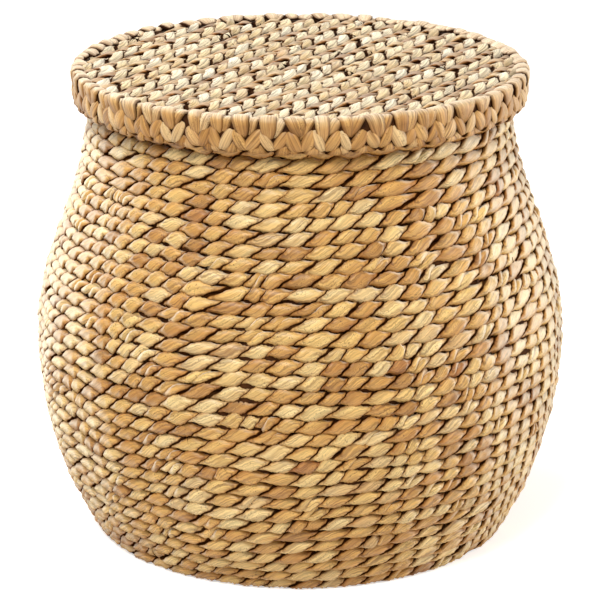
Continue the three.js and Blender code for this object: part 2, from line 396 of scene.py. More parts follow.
@dataclass(frozen=True)
class TwinedTurn:
    """One full turn of a flat strand in a twisted pair, modelled once and copied.

    The middle of the turn is the fold that shows in front, its ends meet the next turns behind.
    Lengths along the pair are shares of half a turn, the other sizes are millimetres. Reach is
    the strand's distance from the middle of its pair, room half the height that a course has,
    and pinch the strand's fullness from the middle of the fold to its ends.
    """

    width: float
    thickness: float
    reach: float
    aside: float = 0.0
    twist: Twist = Twist.RISING
    steep: float = 0.54
    sway: float = 1.6
    room: float = 7.1
    pinch: Sequence[float] = (1.12, 1.08, 0.97, 0.84, 0.97, 1.08, 1.12)

    def crest(self) -> float:
        """Height of the outermost point of the fold over the middle of its pair."""
        return self.thickness / 2 * self.pinch[0] + self.reach

    def model(self, pitch: float) -> FoldShape:
        """Models the turn from a ball, ring by ring, and reads its form.

        Args:
            pitch: Usual length of half a turn, which sets the run of the fibres.

        Returns:
            The turn's points, with their place along, across and round it.
        """
        ball, start, levels = add_ball(TURN_STATIONS)
        half = TURN_STATIONS // 2
        for i, level in enumerate(levels):
            step = min(max(i - half, 1 - half), half - 1)
            place, swell = step / (half - 1), self.pinch[abs(step)]
            shift = (self.aside, self.reach, place - level)
            shape_ring(ball, level, self.width * swell, self.thickness * swell, shift)
            turn = math.pi * place * self.twist.value
            bpy.ops.transform.rotate(value=turn, orient_axis="Z", center_override=(0, 0, place))
        shape = read_shape(ball, start, self.width, self.thickness)
        shape.share[:] = shape.points[:, 0]
        shape.across[:] += self.aside + FIBRE_LAY * self.twist.value * pitch * shape.share
        shape.inset[:] = self._inset(shape.points)
        up, out = shape.points[:, 1] * self.twist.value, shape.points[:, 2]
        shape.points[:, 1] += self.sway * self.twist.value * np.sin(2 * np.pi * shape.share)
        shape.points[:, 0] -= self.steep * up * out / (self.room * pitch)
        return shape

    def _inset(self, points: Array) -> Array:
        """Distance of points from the outline that the fold shows, less than zero beyond it.

        Args:
            points: Share of half a turn along, and millimetres up and out.

        Returns:
            Distances up or down to the crease beside the next fold or to the next pair.
        """
        share, up = points[:, 0], points[:, 1] * self.twist.value
        hidden = points[:, 2] < 0
        share = np.where(hidden, share - np.sign(share), share)
        up = np.where(hidden, -up, up)
        swell = np.interp(np.abs(share), np.linspace(0, 1, len(self.pinch)), self.pinch)
        sink = np.clip(self.reach / (self.thickness / 2 * swell), 0, 1)
        girth = (self.width / 2 + abs(self.aside)) * swell * np.sqrt(1 - sink**2)
        crease = girth * np.cos(np.pi * share)
        low = np.where(share > NEAR, -crease, -self.room)
        high = np.where(share < -NEAR, crease, self.room)
        return np.minimum(up - low, high - up)


EVEN = (1.0, 0.97, 0.86, 0.64, 0.36)
FULL = (1.0, 0.97, 0.86, 0.66, 0.36)
BROAD = (1.0, 1.06, 1.06, 0.96, 0.66)
NARROW = (1.0, 0.93, 0.78, 0.56, 0.28)


@dataclass(frozen=True)
class StrandFold:
    """Part of a flat strand that shows between two crossings of a plait, modelled once and copied.

    Sizes are in millimetres. Lead and trail are the fullness of the two halves, from the middle
    to the tip. Boxy pushes the corners of the section out, and flat keeps the tips thick.
    """

    length: float
    width: float
    thickness: float
    bow: float = 0.0
    boxy: float = 1.12
    flat: float = 0.7
    lead: Sequence[float] = EVEN
    trail: Sequence[float] = EVEN

    def crest(self) -> float:
        """Height of the outermost point of the fold over its ends."""
        return self.thickness / 2 + self.bow

    def model(self) -> FoldShape:
        """Models the fold from a ball, ring by ring, and reads its form.

        Returns:
            The fold's points, with their place along, across and round it.
        """
        ball, start, levels = add_ball(FOLD_STATIONS)
        select_points(ball, lambda co: abs(co.x * co.y) > 0.4 * (co.x**2 + co.y**2) > 1e-4)
        bpy.ops.transform.resize(value=(self.boxy, self.boxy, 1), center_override=(0, 0, 0))
        for i, level in enumerate(levels):
            step = min(abs(i - FOLD_STATIONS // 2), len(EVEN) - 1)
            full = self.lead[step] if level > 0 else self.trail[step]
            dive = self.bow * math.cos(math.pi / 2 * level)
            shift = (0.0, dive, level * (self.length / 2 - 1))
            shape_ring(ball, level, self.width * full, self.thickness * full**self.flat, shift)
        return read_shape(ball, start, self.width, self.thickness)


@dataclass
class Strands:
    """Many copies of folds, gathered into one mesh of a piece.

    Each copy starts somewhere else in the pattern of the fibres: along its run, in millimetres,
    and in one more direction that the mesh doesn't use.
    """

    rng: Chance
    run: float = 4000.0
    seeds: float = 900.0
    shape: Optional[FoldShape] = None
    places: list[Array] = field(default_factory=list)
    fibres: list[Array] = field(default_factory=list)
    marks: list[Array] = field(default_factory=list)

    def add(self, places: Array, shape: FoldShape, along: Array, tone: Array) -> None:
        """Adds copies of a fold that already lie in their places.

        Args:
            places: Points of each copy in millimetres, in the shared frame.
            shape: The fold that was copied.
            along: Place of each point along its strand, in millimetres.
            tone: Number from zero to one that picks each copy's colour, or each point's.
        """
        count = len(places)
        self.shape = shape
        along = along + self.rng.uniform(0, self.run, (count, 1))
        seed = self.rng.uniform(0, self.seeds, (count, 1))
        tone = tone if tone.ndim == 2 else tone[:, None]
        self.places.append(places)
        self.fibres.append(np.stack(np.broadcast_arrays(along, shape.across, seed), axis=-1))
        marks = np.broadcast_arrays(shape.share, shape.inset, tone, along)[:3]
        self.marks.append(np.stack(marks, axis=-1))

    def raise_piece(self, name: str) -> Piece:
        """Makes one mesh object of all the copies.

        Args:
            name: Name of the piece.

        Returns:
            The piece, at the origin, in metres.
        """
        places = np.concatenate(self.places)
        count, size = places.shape[:2]
        copies = np.arange(count)[:, None]
        corners = (self.shape.corners + size * copies).ravel()
        starts = (self.shape.starts + len(self.shape.corners) * copies).ravel()
        mesh = bpy.data.meshes.new(name)
        mesh.vertices.add(count * size)
        mesh.vertices.foreach_set("co", (places * MM).astype(np.float32).ravel())
        mesh.loops.add(len(corners))
        mesh.loops.foreach_set("vertex_index", corners.astype(np.int32))
        mesh.polygons.add(len(starts))
        mesh.polygons.foreach_set("loop_start", starts.astype(np.int32))
        mesh.polygons.foreach_set("use_smooth", np.ones(len(starts), bool))
        for label, parts in (("fibre", self.fibres), ("fold", self.marks)):
            layer = mesh.attributes.new(label, "FLOAT_VECTOR", "POINT")
            layer.data.foreach_set("vector", np.concatenate(parts).astype(np.float32).ravel())
        mesh.update(calc_edges=True)
        mesh.validate()
        piece = bpy.data.objects.new(name, mesh)
        bpy.context.scene.collection.objects.link(piece)
        return piece


@dataclass(frozen=True)
class HyacinthFinish:
    """Dried water hyacinth stalk, flattened and twisted by hand.

    It gives the eye a satin straw colour that changes from strand to strand, fine fibre lines
    along each fold, a few lengthwise creases, and dark edges: partly the brown of skin that has
    dried thin, partly painted shade in the creases between folds and under their tips. It also
    paints shade on each fold's flanks and on the sides that look down. A pale down on the skin
    gives it a sheen at a glancing angle.

    Lengths, widths, the relief's depth and the places of the flank shade and the edge shade,
    measured in from a fold's outline, are in millimetres. Shares and the streaks' depth run from
    none to all. The underside shade is painted shade on the sides that look down.
    """

    name: str
    tones: Sequence[tuple[float, str]]
    patch_length: float = 34.0
    patch_width: float = 7.0
    patch_share: float = 0.75
    fibre_length: float = 26.0
    fibre_width: float = 1.1
    streak: str = "#8d8d8d"
    streak_depth: float = 0.6
    crease: str = "#7d5124"
    crease_length: float = 104.0
    crease_width: float = 3.4
    crease_share: float = 0.5
    speck: str = "#6b4a26"
    speck_scale: float = 0.8
    speck_share: float = 0.6
    # Painted shade on the sides that look down
    underside_shade_full: float = -0.6
    underside_shade_start: float = 0.25
    underside_shade_share: float = 0.06
    # Painted shade on each fold's flanks, which rounds it; its colour also tints the underside shade
    painted_shade: str = "#a96f34"
    flank_shade_full: float = 0.2
    flank_shade_reach: float = 3.3
    flank_shade_share: float = 0.58
    # Dark edges: the brown of skin dried thin, and painted shade in the creases between folds and
    # under the tips
    edge: str = "#361100"
    edge_share: float = 0.95
    shade_full: float = -0.1
    shade_start: float = 0.9
    tip_start: float = 0.9
    tip_share: float = 0.6
    roughness: float = 0.42
    gloss: float = 0.42
    sheen: str = "#fbf3e0"
    sheen_start: float = 0.22
    sheen_full: float = 0.52
    sheen_share: float = 1.0
    sheen_roughness: float = 0.8
    relief: float = 0.4
    relief_depth: float = 0.9
    streak_height: float = 0.45
    dry: float = 0.12
    sleek: float = 0.08

    def material(self) -> Material:
        """Builds the node tree of the finish.

        Returns:
            The material.
        """
        made, tree = start_material(self.name)
        fibre = add_node(tree, "ShaderNodeAttribute", attribute_name="fibre").outputs["Vector"]
        fold = add_node(tree, "ShaderNodeAttribute", attribute_name="fold").outputs["Vector"]
        share, inset, tone = add_node(tree, "ShaderNodeSeparateXYZ", {0: fold}).outputs
        streak = self._grain(tree, fibre, self.fibre_length, self.fibre_width, 3.0)
        ridge = self._grain(tree, fibre, self.crease_length, self.crease_width, 1.0)
        skin = self._skin(tree, fibre, tone, streak, ridge)

        # Painted shade on the sides that look down, from the object's own normal
        facing = add_node(tree, "ShaderNodeTexCoord").outputs["Normal"]
        upward = add_node(tree, "ShaderNodeSeparateXYZ", {0: facing}).outputs[2]
        underside_shade = step_between(tree, upward, self.underside_shade_full, self.underside_shade_start, 1.0, 0.0)
        # Painted shade on the flanks, darker toward each fold's outline
        painted_shade = step_between(tree, inset, self.flank_shade_full, self.flank_shade_reach, 1.0, 0.0)
        # Painted shade in the creases along the fold's outline and under its tips; at the very edge
        # also the brown of skin dried thin
        side = step_between(tree, inset, self.shade_full, self.shade_start, 1.0, 0.0)
        far = reckon(tree, "ABSOLUTE", share)
        tip = step_between(tree, far, self.tip_start, 1.0, 0.0, self.tip_share)
        dry_edge_and_crease_shade = reckon(tree, "MAXIMUM", side, tip)
        skin = self._stain_and_shade(tree, underside_shade, self.underside_shade_share, skin, self.painted_shade)
        skin = self._stain_and_shade(tree, painted_shade, self.flank_shade_share, skin, self.painted_shade)
        skin = self._stain_and_shade(tree, dry_edge_and_crease_shade, self.edge_share, skin, self.edge)

        # Where shade is painted, the gloss is dulled and the sheen held back
        flank_and_edge_shade = reckon(tree, "MULTIPLY_ADD", painted_shade, self.flank_shade_share, dry_edge_and_crease_shade)
        all_painted_shade = reckon(tree, "MAXIMUM", flank_and_edge_shade, underside_shade)
        unshaded_share = step_between(tree, all_painted_shade, 0.0, 1.0, 1.0, 0.0, smooth=False)
        glance = add_node(tree, "ShaderNodeLayerWeight", {"Blend": 0.5}).outputs["Facing"]
        down = step_between(tree, glance, self.sheen_start, self.sheen_full, 0.0, self.sheen_share)

        dry, sleek = self.roughness + self.dry, self.roughness - self.sleek
        rough = step_between(tree, streak, 0.2, 0.8, dry, sleek, smooth=False)
        gloss = step_between(tree, flank_and_edge_shade, 0.0, 1.0, self.gloss, 0.0, smooth=False)
        height = reckon(tree, "MULTIPLY_ADD", streak, self.streak_height, ridge)
        end_material(
            tree,
            {
                "Base Color": skin,
                "Roughness": reckon(tree, "MAXIMUM", rough, dry_edge_and_crease_shade),
                "Normal": bump(tree, height, self.relief, self.relief_depth),
                "Specular IOR Level": gloss,
                "Sheen Weight": reckon(tree, "MULTIPLY", down, unshaded_share),
                "Sheen Roughness": self.sheen_roughness,
                "Sheen Tint": linear(self.sheen),
            },
        )
        return made

    def _skin(self, tree: Tree, fibre: Socket, tone: Socket, streak: Socket, ridge: Socket) -> Socket:
        """Colour of the open skin: tone, patches, fibre lines, creases and clusters of specks.

        Args:
            tree: Node tree of the finish.
            fibre: Place along and across the strand, in millimetres.
            tone: Number that picks the strand's colour.
            streak: Noise of the fibre lines.
            ridge: Noise of the creases.

        Returns:
            Socket of the colour.
        """
        patch = self._grain(tree, fibre, self.patch_length, self.patch_width, 2.0)
        colour = shades(tree, tone, *self.tones)
        colour = self._lay_over(tree, "SOFT_LIGHT", self.patch_share, colour, patch)
        line = shades(tree, streak, (0.28, self.streak), (0.62, "#ffffff"))
        colour = self._lay_over(tree, "MULTIPLY", self.streak_depth, colour, line)
        groove = shades(tree, ridge, (0.44, "#000000"), (0.49, "#ffffff"), (0.54, "#000000"))
        colour = self._stain_and_shade(tree, groove, self.crease_share, colour, self.crease)
        pore = noise(tree, fibre, self.speck_scale, 1.0)
        speck = shades(tree, pore, (0.62, "#000000"), (0.68, "#ffffff"))
        cluster = step_between(tree, patch, 0.46, 0.6, 0.0, 1.0)
        dots = reckon(tree, "MULTIPLY", speck, cluster)
        return self._stain_and_shade(tree, dots, self.speck_share, colour, self.speck)

    def _grain(self, tree: Tree, fibre: Socket, length: float, width: float, detail: float) -> Socket:
        """Noise in marks of some length along the strand and some width across it."""
        stretch = {"Vector": fibre, "Scale": (1 / length, 1 / width, 1.0)}
        return noise(tree, add_node(tree, "ShaderNodeMapping", stretch).outputs[0], 1.0, detail)

    def _lay_over(self, tree: Tree, way: str, share: Any, colour: Socket, other: Any) -> Socket:
        """Lays a pattern or a plain colour over a colour and returns the result's socket."""
        layers = {0: share, 6: colour, 7: other}
        return add_node(tree, "ShaderNodeMix", layers, data_type="RGBA", blend_type=way).outputs[2]

    def _stain_and_shade(self, tree: Tree, mask: Socket, share: float, colour: Socket, dark_tint: str) -> Socket:
        """Darkens a colour by a tint where a mask is set, for real stains and for painted shade, and
        returns the result's socket.
        """
        amount = reckon(tree, "MULTIPLY", mask, share)
        return self._lay_over(tree, "MULTIPLY", amount, colour, linear(dark_tint))


@dataclass(frozen=True)
class CoreShadeFinish:
    """Dark sheet deep between the strands that closes the gaps where they cross: a dry dark brown,
    painted shade.
    """

    name: str = "dark core shade between hyacinth strands"
    dark: str = "#241004"
    light: str = "#4a2a10"
    clump: float = 9.0
    roughness: float = 0.9
    gloss: float = 0.1

    def material(self) -> Material:
        """Builds the node tree of the finish.

        Returns:
            The material.
        """
        made, tree = start_material(self.name)
        place = add_node(tree, "ShaderNodeTexCoord").outputs["Object"]
        clumps = noise(tree, place, 1 / (self.clump * MM), 3.0)
        end_material(
            tree,
            {
                "Base Color": shades(tree, clumps, (0.3, self.dark), (0.7, self.light)),
                "Roughness": self.roughness,
                "Normal": bump(tree, clumps, 0.6, 1.0),
                "Specular IOR Level": self.gloss,
            },
        )
        return made


@dataclass(frozen=True)
class WireFinish:
    """Drawn iron wire under a thin dark lacquer: satin, with a little brown where it has rusted."""

    name: str = "lacquered iron wire"
    lacquer: str = "#33261b"
    rust: str = "#553317"
    patch: float = 14.0
    satin: float = 0.55
    rusted: float = 0.85
    gloss: float = 0.15

    def material(self) -> Material:
        """Builds the node tree of the finish.

        Returns:
            The material.
        """
        made, tree = start_material(self.name)
        place = add_node(tree, "ShaderNodeTexCoord").outputs["Object"]
        spots = noise(tree, place, 1 / (self.patch * MM), 4.0)
        rough = step_between(tree, spots, 0.4, 0.75, self.satin, self.rusted, smooth=False)
        end_material(
            tree,
            {
                "Base Color": shades(tree, spots, (0.5, self.lacquer), (0.72, self.rust)),
                "Roughness": rough,
                "Normal": bump(tree, spots, 0.3, 0.2),
                "Specular IOR Level": self.gloss,
            },
        )
        return made


@dataclass(frozen=True)
class Wave:
    """Slow wave over the wall: size in millimetres, turns round it, run up it and start."""

    size: float
    turns: int
    run: float
    start: float = 0.0

    def at(self, angle: Array, slant: Array) -> Array:
        """Height of the wave at an angle round the wall and a length up it."""
        return self.size * np.sin(self.turns * angle + slant / self.run + self.start)


@dataclass
class Wall:
    """Bellied wall of the basket: courses of two strands twined round the upright ribs.

    Lengths are in millimetres. The folds are longer from the stretch height up, and some are
    split in two. Nudge and the scatter of nudge and pitch are shares of a fold's length. Evening
    is the share of its way that a fold is moved to the middle between its neighbours.
    """

    finish: Material
    core_shade: Material
    seed: int = 11
    belly_radius: float = 250.0
    belly_height: float = 185.0
    foot_radius: float = 195.5
    neck_radius: float = 197.5
    neck_height: float = 410.0
    swell_power: float = 2.15
    thickness: float = 13.0
    foot: float = 0.5
    floor_gap: float = 0.2
    top: float = 416.8
    courses: int = 34
    bands: int = 5
    ribs: int = 16
    flatness: float = 0.5
    fold_pitch: float = 23.4
    pitch_scatter: float = 0.04
    stretch_height: float = 330.0
    stretch_rate: float = 0.1 / 90
    nudge: float = 0.07
    nudge_scatter: float = 0.2
    evening: float = 0.2
    split_share: float = 0.11
    tilt: float = 0.05
    tilt_scatter: float = 0.1
    scatter: Scatter = Scatter(width=0.08, out=0.7, rise=0.6)
    # Painted shadow: share of its tone that the top course keeps, darkened under the lid's overhang
    under_lid_shadow_tone: float = 0.2
    settled: float = 60.0
    rise_waves: Sequence[Wave] = (Wave(1.7, 3, 90.0), Wave(1.3, 7, -47.0, 1.0))
    swing_waves: Sequence[Wave] = (Wave(0.8, 5, 60.0, 2.0), Wave(0.7, 11, -38.0))
    core_thickness: float = 1.6
    core_inset: float = 0.8
    core_foot: float = 5.0
    core_gap: float = 2.0
    core_rings: int = 40

    def __post_init__(self) -> None:
        """Lays out the slant of the wall from the floor to the top."""
        self.rng = np.random.default_rng(self.seed)
        self.levels = np.linspace(self.foot, self.top, 900)
        middle = self.radius(self.levels) - self.thickness / 2
        step = np.hypot(np.diff(self.levels), np.diff(middle))
        self.slants = np.concatenate([[0.0], np.cumsum(step)])
        self.course = self.slants[-1] / self.courses

    def radius(self, z: Array) -> Array:
        """Outside radius of the weave.

        Args:
            z: Height over the floor, in millimetres.

        Returns:
            Radius in millimetres.
        """
        drop = np.clip((self.belly_height - z) / self.belly_height, 0, None)
        low = self.belly_radius - (self.belly_radius - self.foot_radius) * drop**self.swell_power
        rise = np.clip((z - self.belly_height) / (self.neck_height - self.belly_height), 0, 1)
        swell = (1 + np.cos(np.pi * rise)) / 2
        high = self.neck_radius + (self.belly_radius - self.neck_radius) * swell
        return np.where(z <= self.belly_height, low, high)

    def surface(self, angle: Array, slant: Array, out: Array) -> Array:
        """Points beside the middle of the wall.

        Args:
            angle: Angle round from the front, in radians.
            slant: Length up the wall from its foot, in millimetres.
            out: Distance from the middle of the wall, outside where it is positive.

        Returns:
            Points in millimetres, on a new last axis.
        """
        over = slant - np.clip(slant, self.slants[0], self.slants[-1])
        z = np.interp(slant, self.slants, self.levels)
        ahead = np.minimum(z + 0.5, self.top)
        slope = self.radius(ahead) - self.radius(ahead - 1.0)
        length = np.hypot(1, slope)
        radius = self.radius(z) - self.thickness / 2 + out / length + over * slope / length
        height = z - out * slope / length + over / length
        swell = (self.radius(z) - self.neck_radius) / (self.belly_radius - self.neck_radius)
        between = (1 - np.cos(self.ribs * angle)) / 2
        sagitta = 1 - math.cos(math.pi / self.ribs)
        radius = radius * (1 - self.flatness * np.clip(swell, 0, None) * between * sagitta)
        return round_axis(angle, radius, np.maximum(height, self.floor_gap))

    def wander(self, angle: Array, slant: Array) -> tuple[Array, Array]:
        """Slow drift of hand-laid courses, which dies away at the foot and at the mouth.

        Args:
            angle: Angle round from the front, in radians.
            slant: Length up the wall, in millimetres.

        Returns:
            Drift up the wall and out of it, in millimetres.
        """
        ends = np.clip(slant / self.settled, 0, 1)
        ends = ends * np.clip((self.slants[-1] - slant) / self.settled, 0, 1)
        up = sum(wave.at(angle, slant) for wave in self.rise_waves)
        out = sum(wave.at(angle, slant) for wave in self.swing_waves)
        return up * ends, out * ends

    def nest(self, below: Optional[Array], count: int) -> Array:
        """Uneven places of the folds of a course, each a little beside a fold of the course below.

        Args:
            below: Middles of the folds of the course below, as shares of the girth.
            count: Number of folds.

        Returns:
            Middles of the folds, as shares of the girth.
        """
        middles = np.arange(count) / count
        if below is not None:
            middles = below - self.nudge / count
        while len(middles) != count:
            gaps = np.diff(np.append(middles, middles[0] + 1))
            if len(middles) < count:
                wide = int(gaps.argmax())
                middles = np.insert(middles, wide + 1, middles[wide] + gaps[wide] / 2)
            else:
                middles = np.delete(middles, int(gaps.argmin()))
        middles = middles + self.nudge_scatter * self.rng.standard_normal(count) / count
        for _ in range(2):
            before, after = np.roll(middles, 1), np.roll(middles, -1)
            before[0] -= 1
            after[-1] += 1
            middles = middles + self.evening * ((before + after) / 2 - middles)
        return np.sort(middles)

    def build(self) -> None:
        """Builds the courses in bands and the dark core behind them, painted shade between the
        strands.
        """
        self.build_bands()
        self.build_core()

    def build_bands(self) -> None:
        """Lays the turns of every course."""
        turns = {
            "whole": TwinedTurn(14.5, 9.0, 1.8),
            "upper": TwinedTurn(7.8, 8.0, 2.0, aside=3.1),
            "lower": TwinedTurn(7.8, 8.0, 2.0, aside=-3.1),
        }
        shapes = {kind: turn.model(self.fold_pitch) for kind, turn in turns.items()}
        edges = np.linspace(0, self.courses, self.bands + 1).round().astype(int)
        below: Optional[Array] = None
        for band in range(self.bands):
            strands = Strands(self.rng)
            for course in range(edges[band], edges[band + 1]):
                below = self._lay_course(strands, course, turns["whole"].crest(), shapes, below)
            piece = strands.raise_piece(f"wall_courses_{band + 1:02d}")
            seat(piece, self.finish, Body.BASKET, ["wall_weave"])

    def _lay_course(
        self,
        strands: Strands,
        course: int,
        crest: float,
        shapes: dict[str, FoldShape],
        below: Optional[Array],
    ) -> Array:
        """Lays the turns of one course round the wall.

        Args:
            strands: Gathers the copies.
            course: Number of the course from the foot.
            crest: Height of a fold over the middle of its pair.
            shapes: Modelled forms of a whole turn and of the halves of a split one.
            below: Middles of the folds of the course below, as shares of the girth.

        Returns:
            Middles of the folds of this course.
        """
        rng = self.rng
        slant = (course + 0.5) * self.course
        level = float(np.interp(slant, self.slants, self.levels))
        radius = float(self.radius(np.array(level)))
        stretch = self.stretch_rate * max(level - self.stretch_height, 0)
        pitch = self.fold_pitch * (1 + self.pitch_scatter * rng.standard_normal() + stretch)
        girth = 2 * math.pi * radius
        shares = self.nest(below, max(3, round(girth / pitch)))
        middles = shares * girth
        ahead = np.diff(np.append(middles, middles[0] + girth))
        behind = np.roll(ahead, 1)
        split = rng.random(len(middles)) < self.split_share
        tone = pick_tones(rng, len(middles))
        # Painted shadow under the lid's overhang: the top course is darkened
        if course == self.courses - 1:
            tone = tone * self.under_lid_shadow_tone
        for pick, kind in ((~split, "whole"), (split, "upper"), (split, "lower")):
            shape = shapes[kind]
            count = int(pick.sum())
            if count == 0:
                continue
            share, up, proud = shape.points.T[:, None, :]
            along = share * np.where(share > 0, ahead[pick, None], behind[pick, None])
            front = 1 - np.abs(share)
            rise = slant + up * (1 + front * jitter(rng, self.scatter.width, count))
            tilt = self.tilt + jitter(rng, self.tilt_scatter, count)
            rise = rise + front * (jitter(rng, self.scatter.rise, count) + tilt * along)
            angle = (middles[pick, None] + along) / radius
            drift, swing = self.wander(angle, rise)
            out = proud - crest + self.thickness / 2 + front * jitter(rng, self.scatter.out, count)
            places = self.surface(angle, rise + drift, out + swing)
            strands.add(places, shape, along, tone[pick])
        return shares

    def build_core(self) -> None:
        """Raises the dark sheet in the middle of the wall, painted shade that shows between the
        strands.
        """
        levels = np.linspace(self.core_foot, self.top - self.core_gap, self.core_rings)
        middle = self.radius(levels) - self.thickness / 2 - self.core_inset
        core = raise_core_shade("wall_core_shade", middle, levels, self.core_thickness)
        bpy.ops.object.shade_smooth()
        seat(core, self.core_shade, Body.BASKET)


@dataclass
class RowPanel:
    """Round flat panel of straight rows, worked back and forth so that the twist alternates.

    Lengths are in millimetres, the angle of the rows in degrees. Rows of rising twist stand proud
    by the ridge and start at the ridge light tone, paler as painted light; the others lie deep and
    end at the recess shade tone, darker as painted shade.
    """

    name: str
    node: str
    body: Body
    slot: str
    finish: Material
    core_shade: Material
    seed: int
    radius: float
    reach: float
    underside: float
    row_angle: float
    rows: int = 36
    ridge: float = 0.4
    # Painted light and shade: paler tones on proud rows, darker on deep ones
    recess_shade_tone: float = 1.0
    ridge_light_tone: float = 0.0
    thickness: float = 12.0
    sink: float = 0.7
    floor_gap: float = 0.2
    fold_pitch: float = 24.0
    pitch_scatter: float = 0.21
    pitch_limits: tuple[float, float] = (0.6, 1.5)
    scatter: Scatter = Scatter(width=0.15, out=0.8, rise=0.7)
    sway: float = 0.9
    sway_run: float = 55.0
    sway_lag: float = 40.0
    core_thickness: float = 2.4
    core_inset: float = 1.0

    def build(self) -> None:
        """Builds the rows on both faces and the dark core between them, painted shade in the gaps."""
        self.rng = np.random.default_rng(self.seed)
        self.build_rows()
        self.build_core()

    def build_rows(self) -> None:
        """Lays the turns of every row."""
        pitch = 2 * self.radius / self.rows
        strands = Strands(self.rng)
        even = (1.08, 1.06, 1.0, 0.92, 1.0, 1.06, 1.08)
        plump = (1.16, 1.08, 0.9, 0.72, 0.9, 1.08, 1.16)
        turns = {
            Twist.RISING: TwinedTurn(10.6, 7.0, 1.6, steep=0.3, sway=1.2, room=6.9, pinch=plump),
            Twist.FALLING: TwinedTurn(
                10.4, 6.4, 2.1, twist=Twist.FALLING, steep=0.0, sway=0.0, room=5.9, pinch=even
            ),
        }
        shapes = {twist: turn.model(self.fold_pitch) for twist, turn in turns.items()}
        for row in range(self.rows):
            twist = Twist.RISING if row % 2 else Twist.FALLING
            aside = (row - (self.rows - 1) / 2) * pitch
            self._lay_row(strands, aside, twist, shapes[twist])
        piece = strands.raise_piece(self.name)
        seat(piece, self.finish, self.body, [self.node])

    def _lay_row(self, strands: Strands, aside: float, twist: Twist, shape: FoldShape) -> None:
        """Lays the turns of one row.

        Args:
            strands: Gathers the copies.
            aside: Distance of the row from the middle of the panel.
            twist: Twist of the row. A rising one stands a little prouder.
            shape: Modelled form of a turn.
        """
        rng = self.rng
        shortest = 10.0
        chord = 2 * math.sqrt(max(self.reach**2 - aside**2, shortest**2))
        count = max(2, round(chord / self.fold_pitch))
        gaps = np.clip(1 + self.pitch_scatter * rng.standard_normal(count + 1), *self.pitch_limits)
        gaps *= chord / gaps[:-1].sum()
        middles = np.cumsum(gaps[:-1]) - gaps[:-1] / 2 - chord / 2
        share, up, proud = shape.points.T[:, None, :]
        along = share * np.where(share > 0, gaps[1:, None], gaps[:-1, None])
        front = 1 - np.abs(share)
        over = middles[:, None] + along
        across = aside + up * (1 + front * jitter(rng, self.scatter.width, count))
        across = across + front * jitter(rng, self.scatter.rise, count)
        across = across + self.sway * np.sin(over / self.sway_run + aside / self.sway_lag)
        middle = self.underside + self.thickness / 2 - self.sink + self.ridge * twist.value
        height = middle + proud + front * jitter(rng, self.scatter.out, count)
        height = np.maximum(height, self.underside + self.floor_gap)
        squeeze = np.minimum(1.0, self.reach / np.maximum(np.hypot(over, across), NEAR))
        x, y = leaned(over * squeeze, across * squeeze, math.radians(self.row_angle))
        tone = pick_tones(rng, count)
        # Painted light and shade: deep rows take darker tones, proud rows paler ones
        if twist is Twist.FALLING:
            tone = tone * self.recess_shade_tone
        else:
            tone = self.ridge_light_tone + tone * (1 - self.ridge_light_tone)
        strands.add(np.stack([x, y, height], axis=-1), shape, along, tone)

    def build_core(self) -> None:
        """Raises the dark slab between the two faces, painted shade that shows in the gaps."""
        low = self.underside + (self.thickness - self.core_thickness) / 2
        radii = [self.reach - self.core_inset] * 2
        core = raise_core_shade(f"{self.name}_core_shade", radii, [low, low + self.core_thickness], 0.0)
        seat(core, self.core_shade, self.body)


@dataclass
class BandPath:
    """Section of a plaited band, followed from its start along the face that shows."""

    corners: Sequence[tuple[float, float]]
    rounding: float

    def __post_init__(self) -> None:
        """Rounds the corners and measures the path."""
        marks = np.array(self.corners, float)
        points = [marks[0]]
        for before, corner, after in zip(marks, marks[1:], marks[2:]):
            back, on = before - corner, after - corner
            cut = min(self.rounding, np.hypot(*back) / 2, np.hypot(*on) / 2)
            start, end = corner + back / np.hypot(*back) * cut, corner + on / np.hypot(*on) * cut
            for t in np.linspace(0, 1, 9):
                points.append((1 - t) ** 2 * start + 2 * t * (1 - t) * corner + t * t * end)
        points.append(marks[-1])
        self.points = np.array(points)
        step = np.hypot(*np.diff(self.points, axis=0).T)
        self.lengths = np.concatenate([[0.0], np.cumsum(step)])
        ahead = np.gradient(self.points, self.lengths, axis=0)
        ahead /= np.linalg.norm(ahead, axis=1, keepdims=True)
        self.normals = np.stack([-ahead[:, 1], ahead[:, 0]], axis=-1)

    def place(self, along: Array, out: Array) -> tuple[Array, Array]:
        """Radius and height of points beside the path.

        Args:
            along: Length along the path, in millimetres.
            out: Distance out of the face, in millimetres.

        Returns:
            Radii and heights, in millimetres.
        """
        radius, height = (
            np.interp(along, self.lengths, self.points[:, axis])
            + out * np.interp(along, self.lengths, self.normals[:, axis])
            for axis in (0, 1)
        )
        return radius, height


@dataclass(frozen=True)
class PlaitElement:
    """Place of one visible fold of a plait within a period of the band.

    Its middle lies some quarters of a period and some millimetres aside, and down from the top
    edge along the section. The lean is in degrees, and the tip is lifted out of the face.
    """

    kind: str
    quarters: int
    aside: float
    down: float
    lean: float
    depth: float
    lift: float = 0.0


